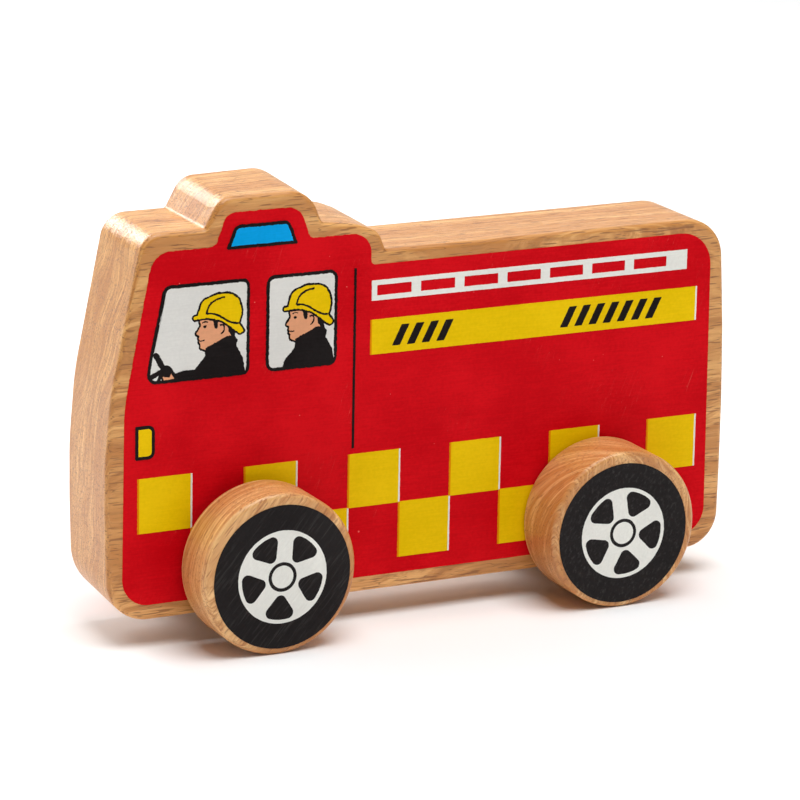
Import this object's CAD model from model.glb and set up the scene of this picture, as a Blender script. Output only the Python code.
"""Looks of the wooden fire engine: woods, inks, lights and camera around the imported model."""

import math

import bmesh
import bpy
from mathutils import Matrix, Vector, noise


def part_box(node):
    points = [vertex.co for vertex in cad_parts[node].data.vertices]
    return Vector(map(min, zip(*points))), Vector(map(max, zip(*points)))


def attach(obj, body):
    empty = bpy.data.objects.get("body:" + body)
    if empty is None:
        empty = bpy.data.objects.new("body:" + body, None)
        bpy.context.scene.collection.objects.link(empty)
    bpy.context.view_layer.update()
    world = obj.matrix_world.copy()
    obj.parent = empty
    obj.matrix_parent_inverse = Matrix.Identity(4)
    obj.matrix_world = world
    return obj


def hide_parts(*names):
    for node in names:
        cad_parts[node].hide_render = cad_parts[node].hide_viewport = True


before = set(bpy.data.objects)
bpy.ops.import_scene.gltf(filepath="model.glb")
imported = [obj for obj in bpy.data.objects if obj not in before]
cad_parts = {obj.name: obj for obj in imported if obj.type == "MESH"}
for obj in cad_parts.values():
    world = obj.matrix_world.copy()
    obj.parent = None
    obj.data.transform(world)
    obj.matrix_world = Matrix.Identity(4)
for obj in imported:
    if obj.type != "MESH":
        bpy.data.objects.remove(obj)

MM = 0.001

# Camera: it aims at a point inside the board, from the nose end of the left side and from above.
CAMERA_AIM_MM = (-2.69, -3.91, 50.92)
CAMERA_DISTANCE_MM = 1053.4
CAMERA_AZIMUTH = -26.634
CAMERA_ELEVATION = 15.378
CAMERA_ROLL = 1.114
CAMERA_LENS_MM = 198.1

# Printed edges: the longest piece of an outline, how often one may be halved to get there, how
# far the ink creeps, and how much further it creeps around the cab's windows.
EDGE_STEP_MM = 0.3
EDGE_HALVINGS = 9
EDGE_CREEP_MM = 0.055
WINDOW_CREEP = 2.4
# The windows are ahead of the first and above the second, and the creep grows over the third.
WINDOWS_AHEAD_OF_MM = -16
WINDOWS_ABOVE_MM = 56
WINDOWS_FADE_MM = 6

# Films: how thick they are, how far in from the printed face a point is on the back, and how
# close two points are one.
FILM_MM = 0.1
FILM_BACK_MM = 0.3 * FILM_MM
SAME_POINT_MM = 0.002

# Linear colours of the inks.
INKS = {
    "red_ink": (0.70, 0.001, 0.007),
    "white_ink": (0.86, 0.86, 0.80),
    "pane_ink": (0.76, 0.75, 0.71),
    "yellow_ink": (0.88, 0.58, 0.0),
    "blue_ink": (0.0, 0.37, 0.82),
    "skin_ink": (0.80, 0.37, 0.20),
    "black_ink": (0.012, 0.009, 0.009),
}
# How each ink's flecks differ from it, how many show, and how much of its tone its thin places keep.
FLECKS = {
    "red_ink": ((0.80, 0.20, 0.17), 0.10, 0.82),
    "white_ink": ((0.55, 0.40, 0.36), 0.03, 0.94),
    "pane_ink": ((0.55, 0.42, 0.38), 0.03, 0.95),
    "yellow_ink": ((0.60, 0.33, 0.02), 0.03, 0.92),
    "blue_ink": ((0.02, 0.25, 0.60), 0.03, 0.92),
    "skin_ink": ((0.60, 0.22, 0.12), 0.03, 0.92),
    "black_ink": ((0.16, 0.15, 0.14), 0.22, 0.80),
}
# Yellow over red, where it misses the white below it: at the left edges of the squares, which
# repeat along the board below one height, and of the stripe, which is above another.
OVERLAP_COLOUR = (0.80, 0.27, 0.0)
CHECK_MM = 13.5
CHECKS_LEFT_MM = -74.44
CHECKS_BELOW_MM = 45.0
STRIPE_LEFT_MM = -15.1
STRIPE_ABOVE_MM = 60.0

# Directions in each piece's wood: along the fibres, and across the growth rings.
BOARD_GRAIN = ((1, 0, 0), (0, 1, 0.14))
WHEEL_GRAIN = {
    "front_left_wheel": ((0.64, 0.05, 0.77), (0.1, 1, -0.1)),
    "rear_left_wheel": ((0.45, -0.55, 0.70), (0.6, 0.75, 0.2)),
    "front_right_wheel": ((0.95, 0.10, -0.30), (0.05, 1, 0.15)),
    "rear_right_wheel": ((-0.30, 0.25, 0.92), (0.3, 0.9, -0.15)),
}
DOWEL_GRAIN = ((0, 1, 0), (1, 0, 0.3))
# How far apart along the fibres the wheels' pieces of wood are, so that no two look alike.
WHEEL_OFFSET_MM = 60.0

# Linear colours of the woods: pale layers, dark layers and pores.
BOARD_TONES = ((0.92, 0.52, 0.185), (0.56, 0.225, 0.05), (0.20, 0.065, 0.015))
WHEEL_TONES = ((0.96, 0.61, 0.27), (0.60, 0.25, 0.07), (0.26, 0.06, 0.018))
DOWEL_TONES = ((0.80, 0.46, 0.24), (0.70, 0.34, 0.14), (0.36, 0.15, 0.06))

# The shader's specular level for bare wood, for ink on the wheels and for ink on the board.
WOOD_SPECULAR = 0.5
WHEEL_INK_SPECULAR = 0.10
BOARD_INK_SPECULAR = 0.03

# The point that the lights face and half the floor's width, in metres.
LIGHTS_AIM = (0, 0, 0.05)
FLOOR_REACH = 6


class Graph:
    """A material's node tree, with short names for the sums that its textures need."""

    def __init__(self, name):
        self.material = bpy.data.materials.new(name)
        self.material.use_nodes = True
        self.tree = self.material.node_tree
        self.shader = self.tree.nodes["Principled BSDF"]

    def add(self, kind, inputs, output=0, **settings):
        """Adds a node and returns its output; inputs are values or other outputs."""
        made = self.tree.nodes.new(kind)
        for name, value in settings.items():
            setattr(made, name, value)
        for key, value in inputs.items():
            if isinstance(value, bpy.types.NodeSocket):
                self.tree.links.new(value, made.inputs[key])
            else:
                made.inputs[key].default_value = value
        return made.outputs[output]

    def math(self, operation, first, second=0.0):
        return self.add("ShaderNodeMath", {0: first, 1: second}, operation=operation)

    def between(self, value, low, high, to_low=0.0, to_high=1.0):
        """Smoothly maps value from low..high to to_low..to_high, and holds it there outside."""
        inputs = {"Value": value, "From Min": low, "From Max": high, "To Min": to_low, "To Max": to_high}
        return self.add("ShaderNodeMapRange", inputs, interpolation_type="SMOOTHSTEP")

    def mix(self, share, first, second):
        """Mixes two colours, each an output or its red, green and blue."""
        inputs = {0: share}
        for index, colour in ((6, first), (7, second)):
            inputs[index] = colour if isinstance(colour, bpy.types.NodeSocket) else (*colour, 1)
        return self.add("ShaderNodeMix", inputs, 2, data_type="RGBA")

    def place(self):
        """The point on the piece, in millimetres."""
        where = self.add("ShaderNodeTexCoord", {}, "Object")
        return self.add("ShaderNodeVectorMath", {0: where, "Scale": 1 / MM}, operation="SCALE")

    def dot(self, point, other):
        return self.add("ShaderNodeVectorMath", {0: point, 1: other}, "Value", operation="DOT_PRODUCT")

    def along(self, point, direction):
        """How far the point is along a direction."""
        return self.dot(point, Vector(direction).normalized())

    def grid(self, a, b, c, scale_a, scale_b, scale_c):
        """A point for a texture that is stretched differently in three directions."""
        inputs = {0: self.math("MULTIPLY", a, scale_a), 1: self.math("MULTIPLY", b, scale_b)}
        inputs[2] = self.math("MULTIPLY", c, scale_c)
        return self.add("ShaderNodeCombineXYZ", inputs)

    def noise(self, point, scale=1.0, detail=2.0, rough=0.5):
        inputs = {"Vector": point, "Scale": scale, "Detail": detail, "Roughness": rough}
        return self.add("ShaderNodeTexNoise", inputs, 0)

    def dots(self, point, scale, size, share):
        """Small round flecks: 1 inside one, 0 outside. A share of the cells has one."""
        inputs = {"Vector": point, "Scale": scale, "Randomness": 1.0}
        distance = self.add("ShaderNodeTexVoronoi", inputs, "Distance")
        inside = self.between(distance, size, size * 0.5)
        chosen = self.add("ShaderNodeSeparateColor", {0: distance.node.outputs["Color"]}, 0)
        return self.math("MULTIPLY", inside, self.math("LESS_THAN", chosen, share))

    def bump(self, height, depth_mm):
        inputs = {"Height": height, "Strength": 1.0, "Distance": depth_mm * MM}
        return self.add("ShaderNodeBump", inputs)

    def finish(self, colour, roughness, normal, specular):
        self.tree.links.new(colour, self.shader.inputs["Base Color"])
        self.tree.links.new(roughness, self.shader.inputs["Roughness"])
        self.tree.links.new(normal, self.shader.inputs["Normal"])
        self.shader.inputs["Specular IOR Level"].default_value = specular
        return self.material


def grain_point(g, grain, offset=0.0):
    """The point in millimetres, and how far it is along the fibres, across the rings and the third way."""
    fibre_way, ring_way = Vector(grain[0]).normalized(), Vector(grain[1])
    ring_way = (ring_way - fibre_way * ring_way.dot(fibre_way)).normalized()
    point = g.place()
    a = g.math("ADD", g.along(point, fibre_way), offset)
    return point, a, g.along(point, ring_way), g.along(point, fibre_way.cross(ring_way))


def saw_marks(g, point):
    """Fine slanting ridges that the saw left on the nose, strongest toward its far edge."""
    x = g.along(point, (1, 0, 0))
    y = g.along(point, (0, 1, 0))
    slant = g.along(point, (0, 0.62, 0.78))
    slant = g.math("ADD", slant, g.math("MULTIPLY", g.noise(point, 0.25, 1.0), 1.2))
    ridges = g.between(g.math("PINGPONG", slant, 0.36), 0.06, 0.30)
    patchy = g.between(g.noise(point, 0.09, 2.0), 0.40, 0.56)
    far = g.between(y, -2.0, 9.0, 0.25, 1.0)
    on_nose = g.math("MULTIPLY", far, g.between(x, -71.0, -75.0))
    return g.math("MULTIPLY", g.math("MULTIPLY", ridges, patchy), on_nose)


def wood(name, grain, tones, figure=1.0, offset=0.0, pores=0.6, rings=0.45, sawn=False):
    """Lacquered hardwood, the same all through the piece: rings, fibres, pores and figure lines."""
    pale, dark, pore = tones
    g = Graph(name)
    point, a, b, c = grain_point(g, grain, offset)
    sway = g.math("SUBTRACT", g.noise(g.grid(a, b, c, 0.016, 0.05, 0.05), 1.0, 1.0), 0.5)
    ring = g.math("ADD", b, g.math("MULTIPLY", sway, 11.0))
    layers = g.noise(g.grid(a, ring, c, 0.006, 0.95, 0.02), 1.0, 3.0, 0.6)
    bands = g.noise(g.grid(a, ring, c, 0.004, 0.20, 0.03), 1.0, 2.0)
    fibres = g.noise(g.grid(a, b, c, 0.20, 2.6, 2.6), 1.0, 3.0, 0.75)
    vessels = g.noise(g.grid(a, b, c, 0.20, 2.6, 2.6), 1.0, 0.0)
    vessels = g.between(vessels, 0.64, 0.72)
    rays = g.noise(g.grid(a, ring, c, 0.015, 1.4, 0.14), 1.0, 4.0, 0.7)
    flames = g.noise(g.grid(a, ring, c, 0.010, 0.46, 0.05), 1.0, 2.0)
    flames = g.between(flames, 0.50, 0.62)
    latewood = g.between(g.noise(g.grid(a, ring, c, 0.008, 1.5, 0.03), 1.0, 1.0), 0.56, 0.68)
    contour = g.noise(g.grid(a, b, c, 0.030, 0.10, 0.30), 1.0, 3.0, 0.55)
    contour = g.math("FRACT", g.math("MULTIPLY", contour, 7.0))
    contour = g.math("ABSOLUTE", g.math("SUBTRACT", contour, 0.5))
    contour = g.between(contour, 0.07, 0.0)
    broken = g.between(g.noise(g.grid(a, b, c, 0.15, 0.5, 0.9), 1.0, 2.0), 0.42, 0.58)
    contour = g.math("MULTIPLY", g.math("MULTIPLY", contour, broken), figure)
    streaks = g.between(g.noise(g.grid(a, ring, c, 0.02, 0.5, 0.5), 1.0, 2.0), 0.62, 0.80)

    tone = g.math("ADD", g.math("MULTIPLY", layers, 0.6), g.math("MULTIPLY", bands, 0.4))
    colour = g.mix(g.between(tone, 0.40, 0.60), dark, pale)
    colour = g.mix(g.math("MULTIPLY", flames, 0.45), colour, dark)
    colour = g.mix(g.math("MULTIPLY", latewood, rings), colour, dark)
    colour = g.mix(g.math("MULTIPLY", streaks, 0.45), colour, pore)
    colour = g.mix(g.between(rays, 0.44, 0.60, 0.0, 0.75), colour, dark)
    colour = g.mix(g.between(rays, 0.52, 0.66, 0.0, 0.35), colour, pore)
    colour = g.mix(g.between(fibres, 0.34, 0.66, 0.0, 0.45), colour, dark)
    colour = g.mix(g.math("MULTIPLY", contour, 0.62), colour, pore)
    colour = g.mix(g.math("MULTIPLY", vessels, pores), colour, pore)
    height = g.math("SUBTRACT", g.math("MULTIPLY", fibres, 0.9), g.math("MULTIPLY", vessels, 0.8))
    if sawn:
        ridges = saw_marks(g, point)
        colour = g.mix(g.math("MULTIPLY", ridges, 0.65), colour, dark)
        height = g.math("SUBTRACT", height, g.math("MULTIPLY", ridges, 0.5))
    roughness = g.between(fibres, 0.3, 0.7, 0.26, 0.42)
    return g.finish(colour, roughness, g.bump(height, 0.06), WOOD_SPECULAR)


def overlap_strips(g, point):
    """Where yellow lies straight on red: a strip down the left edge of each square and of the stripe."""
    x = g.along(point, (1, 0, 0))
    z = g.along(point, (0, 0, 1))
    step = g.math("FRACT", g.math("DIVIDE", g.math("SUBTRACT", x, CHECKS_LEFT_MM), CHECK_MM))
    squares = g.math("MULTIPLY", g.between(step, 0.036, 0.028), g.math("LESS_THAN", z, CHECKS_BELOW_MM))
    stripe = g.between(x, STRIPE_LEFT_MM + 0.45, STRIPE_LEFT_MM + 0.35)
    stripe = g.math("MULTIPLY", stripe, g.math("GREATER_THAN", x, STRIPE_LEFT_MM - 0.3))
    stripe = g.math("MULTIPLY", stripe, g.math("GREATER_THAN", z, STRIPE_ABOVE_MM))
    return g.math("MAXIMUM", squares, stripe)


def ink(name, colour, fleck, share, depth, grain, overlaps=False, wear=0.0):
    """Screen-printed ink: satin, uneven, pitted by the wood below, with flecks and fine scratches."""
    g = Graph(name)
    point, a, b, c = grain_point(g, grain)
    cloud = g.noise(point, 0.06, 3.0)
    mottle = g.noise(point, 1.3, 2.0)
    fibres = g.noise(g.grid(a, b, c, 0.18, 2.6, 2.6), 1.0, 2.0, 0.6)
    deeper = tuple(depth * v for v in colour)
    paler = tuple(min(1.0, 1.05 * v + 0.004) for v in colour)
    tone = g.math("ADD", g.math("MULTIPLY", cloud, 0.5), g.math("MULTIPLY", mottle, 0.25))
    tone = g.math("ADD", tone, g.math("MULTIPLY", fibres, 0.25))
    shade = g.mix(g.between(tone, 0.34, 0.66), deeper, paler)
    pinholes = g.math("MAXIMUM", g.dots(point, 0.42, 0.075, share), g.dots(point, 0.17, 0.05, share * 0.8))
    shade = g.mix(g.math("MULTIPLY", pinholes, 0.75), shade, fleck)
    down_line = g.dot(point, (0.34, 0.0, 0.94))
    across_line = g.dot(point, (0.94, 0.0, -0.34))
    lines = g.noise(g.grid(down_line, across_line, b, 0.02, 1.1, 0.3), 1.0, 1.0)
    lines = g.between(g.math("ABSOLUTE", g.math("SUBTRACT", lines, 0.5)), 0.0035, 0.0)
    where = g.between(g.noise(point, 0.07, 1.0), 0.56, 0.66)
    scratches = g.math("MULTIPLY", lines, where)
    shade = g.mix(g.math("MULTIPLY", scratches, 0.30), shade, fleck)
    if wear:
        lines = g.noise(g.grid(a, b, c, 0.07, 1.5, 1.5), 1.0, 3.0, 0.7)
        shade = g.mix(g.between(lines, 0.50, 0.72, 0.0, wear), shade, fleck)
    if overlaps:
        shade = g.mix(overlap_strips(g, point), shade, OVERLAP_COLOUR)
    roughness = g.between(mottle, 0.3, 0.7, 0.30, 0.42)
    height = g.math("SUBTRACT", g.math("MULTIPLY", fibres, 0.6), g.math("MULTIPLY", pinholes, 0.5))
    specular = WHEEL_INK_SPECULAR if wear else BOARD_INK_SPECULAR
    return g.finish(shade, roughness, g.bump(height, 0.06 if wear else 0.02), specular)


def printed_face(mesh):
    """A bmesh of a film's printed face alone, and which way that face looks along y."""
    bm = bmesh.new()
    bm.from_mesh(mesh)
    outer = max(abs(v.co.y) for v in bm.verts)
    side = 1 if any(v.co.y > 0 for v in bm.verts) else -1
    inside = [v for v in bm.verts if abs(v.co.y) < outer - FILM_BACK_MM * MM]
    bmesh.ops.delete(bm, geom=inside, context="VERTS")
    bmesh.ops.remove_doubles(bm, verts=bm.verts, dist=SAME_POINT_MM * MM)
    return bm, side


def creep(point, centre):
    """How far ink has crept at a point, the same for every ink, so that neighbours still meet."""
    x, z = (point.x - centre.x) / MM, (point.z - centre.z) / MM
    slow = noise.noise_vector(Vector((x * 0.9, 3.7, z * 0.9)))
    fast = noise.noise_vector(Vector((x * 2.6, 9.1, z * 2.6)))
    ahead = min(1, max(0, (WINDOWS_AHEAD_OF_MM - x) / WINDOWS_FADE_MM))
    above = min(1, max(0, (z - WINDOWS_ABOVE_MM) / WINDOWS_FADE_MM))
    far = EDGE_CREEP_MM * (1 + WINDOW_CREEP * (ahead * above))
    move = (slow * 0.55 + fast * 0.75) * far * MM
    return Vector((move.x, 0, move.z))


def film(name, centre):
    """A printed film with uneven edges, made from its CAD node's printed face to stand in for it."""
    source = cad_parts[name]
    bm, side = printed_face(source.data)
    for _ in range(EDGE_HALVINGS):
        rim = [e for e in bm.edges if len(e.link_faces) == 1]
        long = [e for e in rim if e.calc_length() > EDGE_STEP_MM * MM]
        if not long:
            break
        bmesh.ops.subdivide_edges(bm, edges=long, cuts=1)
    for v in bm.verts:
        v.co += creep(v.co, centre)
    bmesh.ops.triangulate(bm, faces=bm.faces[:])
    for f in bm.faces:
        f.normal_update()
        if f.normal.y * side < 0:
            f.normal_flip()
    back = bmesh.ops.extrude_face_region(bm, geom=bm.faces[:])["geom"]
    for v in (g for g in back if isinstance(g, bmesh.types.BMVert)):
        v.co.y -= side * FILM_MM * MM
    bmesh.ops.recalc_face_normals(bm, faces=bm.faces[:])
    mesh = bpy.data.meshes.new(name + "_print")
    bm.to_mesh(mesh)
    bm.free()
    piece = bpy.data.objects.new(name + "_inked", mesh)
    bpy.context.scene.collection.objects.link(piece)
    return piece


def add_camera():
    """The camera of the main view."""
    azimuth, elevation = math.radians(CAMERA_AZIMUTH), math.radians(CAMERA_ELEVATION)
    towards = Vector((-math.sin(azimuth), math.cos(azimuth), -math.tan(elevation))).normalized()
    camera = bpy.data.objects.new("camera", bpy.data.cameras.new("camera"))
    bpy.context.scene.collection.objects.link(camera)
    camera.data.sensor_width = 36
    camera.data.lens = CAMERA_LENS_MM
    camera.data.clip_start = 0.05
    camera.data.clip_end = 50
    turn = towards.to_track_quat("-Z", "Y").to_matrix().to_4x4()
    turn @= Matrix.Rotation(math.radians(CAMERA_ROLL), 4, "Z")
    place = Vector(CAMERA_AIM_MM) * MM - towards * CAMERA_DISTANCE_MM * MM
    camera.matrix_world = Matrix.Translation(place) @ turn
    bpy.context.scene.camera = camera


def area_light(name, direction, distance, size, power):
    """A square soft light, that many metres from the middle of the toy in that direction."""
    light = bpy.data.objects.new(name, bpy.data.lights.new(name, "AREA"))
    bpy.context.scene.collection.objects.link(light)
    light.data.size = size
    light.data.energy = power
    light.location = Vector(LIGHTS_AIM) + Vector(direction).normalized() * distance
    light.rotation_mode = "QUATERNION"
    light.rotation_quaternion = (-Vector(direction)).to_track_quat("-Z", "Y")


def add_light():
    """Soft boxes over, behind and beside the toy, in a dim white room."""
    world = bpy.data.worlds.new("studio")
    world.use_nodes = True
    world.node_tree.nodes["Background"].inputs["Color"].default_value = (1, 1, 1, 1)
    world.node_tree.nodes["Background"].inputs["Strength"].default_value = 0.06
    bpy.context.scene.world = world
    area_light("overhead", (0, -0.25, 1), 1.3, 1.0, 18)
    area_light("overhead_back", (0, 0.6, 1), 1.5, 1.6, 6.5)
    area_light("back_panel", (0.35, 0.86, 0.33), 1.5, 1.3, 4)
    area_light("back_left", (-0.25, 0.86, 0.415), 0.9, 0.4, 5)
    area_light("left", (-0.95, 0.5, 0.3), 0.9, 0.5, 1.6)
    area_light("right", (0.8, -0.3, 0.5), 0.9, 0.5, 0.8)
    area_light("front_right", (0.6, -0.85, 0.3), 0.9, 0.5, 0.4)
    bpy.context.scene.view_settings.view_transform = "Standard"


def add_floor():
    """A plain pale floor."""
    mesh = bpy.data.meshes.new("floor")
    far = FLOOR_REACH
    mesh.from_pydata([(-far, -far, 0), (far, -far, 0), (far, far, 0), (-far, far, 0)], [], [(0, 1, 2, 3)])
    floor = bpy.data.objects.new("floor", mesh)
    bpy.context.scene.collection.objects.link(floor)
    paper = bpy.data.materials.new("floor_paper")
    paper.use_nodes = True
    shader = paper.node_tree.nodes["Principled BSDF"]
    shader.inputs["Base Color"].default_value = (0.93, 0.93, 0.93, 1)
    shader.inputs["Roughness"].default_value = 0.9
    shader.inputs["Specular IOR Level"].default_value = 0.0
    mesh.materials.append(paper)


def body_of_node(name):
    """The CAD body that carries a node."""
    for axle in ("front", "rear"):
        if name.startswith(axle + "_"):
            return axle + "_wheelset"
    return "body"


def dress():
    """Gives every node its material, and prints the inks with uneven edges."""
    board = wood("board_wood", BOARD_GRAIN, BOARD_TONES, sawn=True)
    dowel = wood("dowel_wood", DOWEL_GRAIN, DOWEL_TONES)
    board_inks = {n: ink(n, c, *FLECKS[n], BOARD_GRAIN, n == "yellow_ink") for n, c in INKS.items()}
    for name, piece in list(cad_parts.items()):
        slot = piece.material_slots[0].name.split(".")[0]
        if slot.endswith("_ink"):
            low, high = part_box(name)
            centre = (low + high) / 2 if "print" in name else Vector((0, 0, 0))
            printed = film(name, centre)
            wheel = name.rsplit("_", 2)[0] + "_wheel"
            if wheel in WHEEL_GRAIN:
                wear = 0.15 if slot == "black_ink" else 0.05
                own = ink(f"{name}_{slot}", INKS[slot], *FLECKS[slot], WHEEL_GRAIN[wheel], wear=wear)
            else:
                own = board_inks[slot]
            printed.data.materials.append(own)
            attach(printed, body_of_node(name))
            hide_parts(name)
        elif name in WHEEL_GRAIN:
            offset = WHEEL_OFFSET_MM * list(WHEEL_GRAIN).index(name)
            looks = {"figure": 0.5, "pores": 0.40, "rings": 0.95, "offset": offset}
            own = wood(name + "_wood", WHEEL_GRAIN[name], WHEEL_TONES, **looks)
            piece.material_slots[0].material = own
        elif "axle" in name:
            piece.material_slots[0].material = dowel
        else:
            piece.material_slots[0].material = board


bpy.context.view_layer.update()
dress()
add_camera()
add_floor()
add_light()
